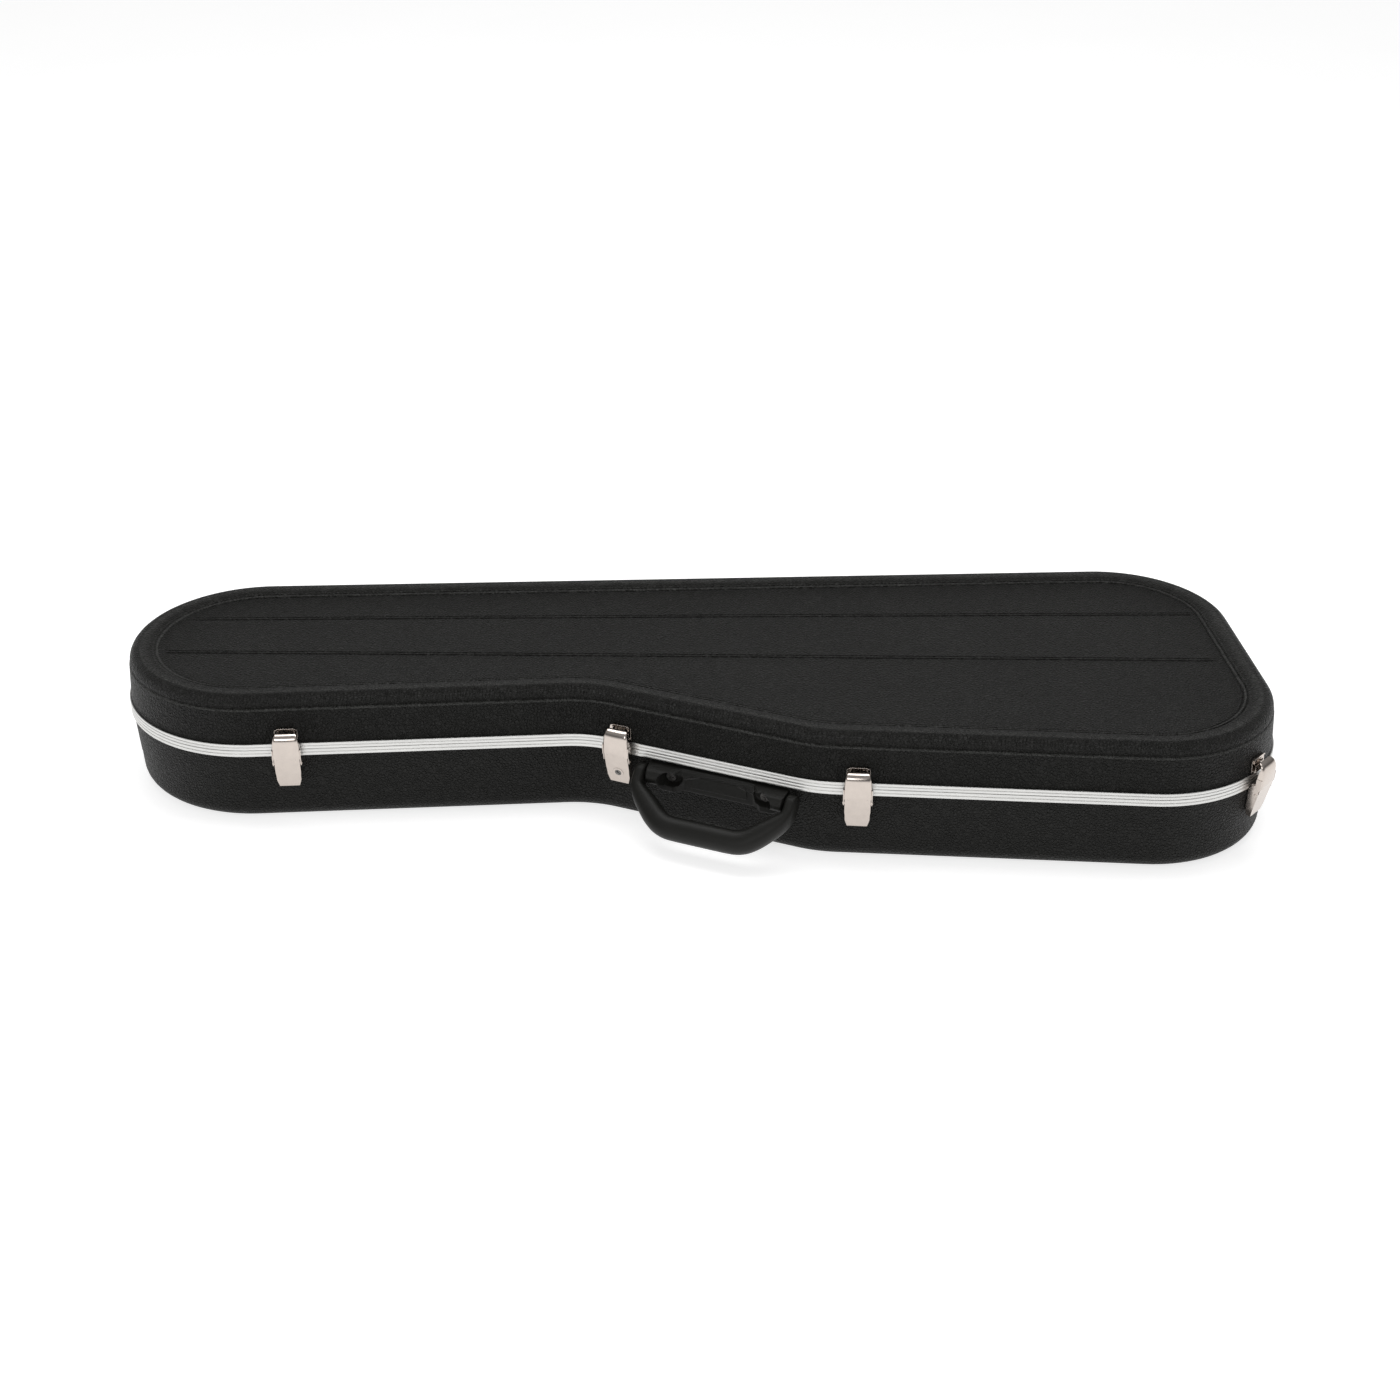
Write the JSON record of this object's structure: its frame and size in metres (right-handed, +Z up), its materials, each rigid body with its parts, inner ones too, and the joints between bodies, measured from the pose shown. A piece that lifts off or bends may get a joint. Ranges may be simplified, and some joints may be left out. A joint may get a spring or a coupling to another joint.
{
  "type": "electric guitar hard case",
  "caption": "Long hard shell case with a waisted plan, hinged domed lid, metal band, draw latches, a key lock, a swinging handle and a plush lined hollow for a guitar.",
  "frame": {"origin": "middle of the flat bottom that the case rests on, halfway along its length and between the back edge and the tail's front edge", "axes": "+X from the head end to the wide tail end, +Y from the latch side to the hinge side, +Z up through the lid"},
  "size_m": [1.0621, 0.3824, 0.128],
  "materials": {
    "shell_black": "leather-grained moulded plastic, satin",
    "band_aluminium": "ribbed extrusion, clear anodised",
    "nickel": "nickel plated pressed steel, lightly brushed",
    "steel": "zinc plated",
    "handle_black": "moulded, fine satin grain",
    "brass": "turned, dull",
    "plush": "short black plush pile",
    "foam": "closed cell foam",
    "ribbon": "woven black ribbon"
  },
  "bodies": {
    "base": {"latch_base_1": "nickel", "latch_base_2": "nickel", "latch_base_3": "nickel", "latch_base_4": "nickel", "lever_pins": "steel", "latch_base_rivets": "nickel", "hinge_base_leaf_1": "nickel", "hinge_base_leaf_2": "nickel", "hinge_base_leaf_3": "nickel", "hinge_pins": "steel", "hinge_base_rivets": "nickel", "handle_plate": "handle_black", "handle_backing_plate": "steel", "handle_screws": "steel", "handle_nuts": "steel", "foam_head": "foam", "foam_neck_front": "foam", "foam_neck_floor": "foam", "foam_pocket": "foam", "foam_tail": "foam", "base_plush": "plush", "neck_rest": "plush", "pocket_hinge_tape": "ribbon", "base_shell": "shell_black", "base_valance": "band_aluminium"},
    "lid": {"keeper_1": "nickel", "keeper_2": "nickel", "keeper_3": "nickel", "keeper_4": "nickel", "keeper_rivets": "nickel", "hinge_lid_leaf_1": "nickel", "hinge_lid_leaf_2": "nickel", "hinge_lid_leaf_3": "nickel", "hinge_lid_rivets": "nickel", "lid_plush": "plush", "lid_foam": "foam", "lid_shell": "shell_black", "lid_valance": "band_aluminium"},
    "lever_1": {"lever_1": "nickel", "claw_pin_1": "steel"},
    "claw_1": {"claw_1": "nickel"},
    "lever_2": {"lever_2": "nickel", "claw_pin_2": "steel", "lock_barrel": "steel"},
    "claw_2": {"claw_2": "nickel"},
    "lock": {"lock_plug": "brass", "lock_cam": "steel"},
    "lever_3": {"lever_3": "nickel", "claw_pin_3": "steel"},
    "claw_3": {"claw_3": "nickel"},
    "lever_4": {"lever_4": "nickel", "claw_pin_4": "steel"},
    "claw_4": {"claw_4": "nickel"},
    "handle": {"handle_grip": "handle_black", "handle_pivot_pins": "steel"},
    "pocket_lid": {"pocket_lid": "plush", "pocket_lid_tab": "ribbon"}
  },
  "joints": [
    {"name": "lid_hinge", "type": "hinge", "parent": "base", "child": "lid", "pos_m": [0, 0.1915, 0.076], "axis": [-1, 0, 0], "range_deg": [0, 105]},
    {"name": "lever_1_hinge", "type": "hinge", "parent": "base", "child": "lever_1", "pos_m": [-0.37005, -0.07045, 0.07233], "axis": [-0.9996, -0.0299, 0], "range_deg": [0, 90]},
    {"name": "claw_1_hinge", "type": "hinge", "parent": "lever_1", "child": "claw_1", "pos_m": [-0.37007, -0.06988, 0.06542], "axis": [-0.9996, -0.0299, 0], "range_deg": [-99, 0]},
    {"name": "lever_2_hinge", "type": "hinge", "parent": "base", "child": "lever_2", "pos_m": [-0.07018, -0.0759, 0.07233], "axis": [-0.8998, 0.4364, 0], "range_deg": [0, 90]},
    {"name": "claw_2_hinge", "type": "hinge", "parent": "lever_2", "child": "claw_2", "pos_m": [-0.06993, -0.07538, 0.06542], "axis": [-0.8998, 0.4364, 0], "range_deg": [-99, 0]},
    {"name": "lock_turn", "type": "hinge", "parent": "lever_2", "child": "lock", "pos_m": [-0.06803, -0.07146, 0.05192], "axis": [0.4242, 0.8746, 0.2347], "range_deg": [0, 90]},
    {"name": "lever_3_hinge", "type": "hinge", "parent": "base", "child": "lever_3", "pos_m": [0.14103, -0.16367, 0.07233], "axis": [-0.9931, 0.1175, 0], "range_deg": [0, 90]},
    {"name": "claw_3_hinge", "type": "hinge", "parent": "lever_3", "child": "claw_3", "pos_m": [0.1411, -0.16311, 0.06542], "axis": [-0.9931, 0.1175, 0], "range_deg": [-99, 0]},
    {"name": "lever_4_hinge", "type": "hinge", "parent": "base", "child": "lever_4", "pos_m": [0.50453, -0.155, 0.07233], "axis": [-0.6809, -0.7324, 0], "range_deg": [0, 90]},
    {"name": "claw_4_hinge", "type": "hinge", "parent": "lever_4", "child": "claw_4", "pos_m": [0.50411, -0.15461, 0.06542], "axis": [-0.6809, -0.7324, 0], "range_deg": [-99, 0]},
    {"name": "handle_swing", "type": "hinge", "parent": "base", "child": "handle", "pos_m": [0.01785, -0.11852, 0.05777], "axis": [-0.8998, 0.4364, 0], "range_deg": [0, 80]},
    {"name": "pocket_lid_hinge", "type": "hinge", "parent": "base", "child": "pocket_lid", "pos_m": [-0.09, 0.112, 0.0578], "axis": [-1, 0, 0], "range_deg": [0, 90]}
  ],
  "couplings": [
    {"joint": "claw_1_hinge", "follows": "lever_1_hinge", "ratio": -1.1},
    {"joint": "claw_2_hinge", "follows": "lever_2_hinge", "ratio": -1.1},
    {"joint": "claw_3_hinge", "follows": "lever_3_hinge", "ratio": -1.1},
    {"joint": "claw_4_hinge", "follows": "lever_4_hinge", "ratio": -1.1}
  ]
}
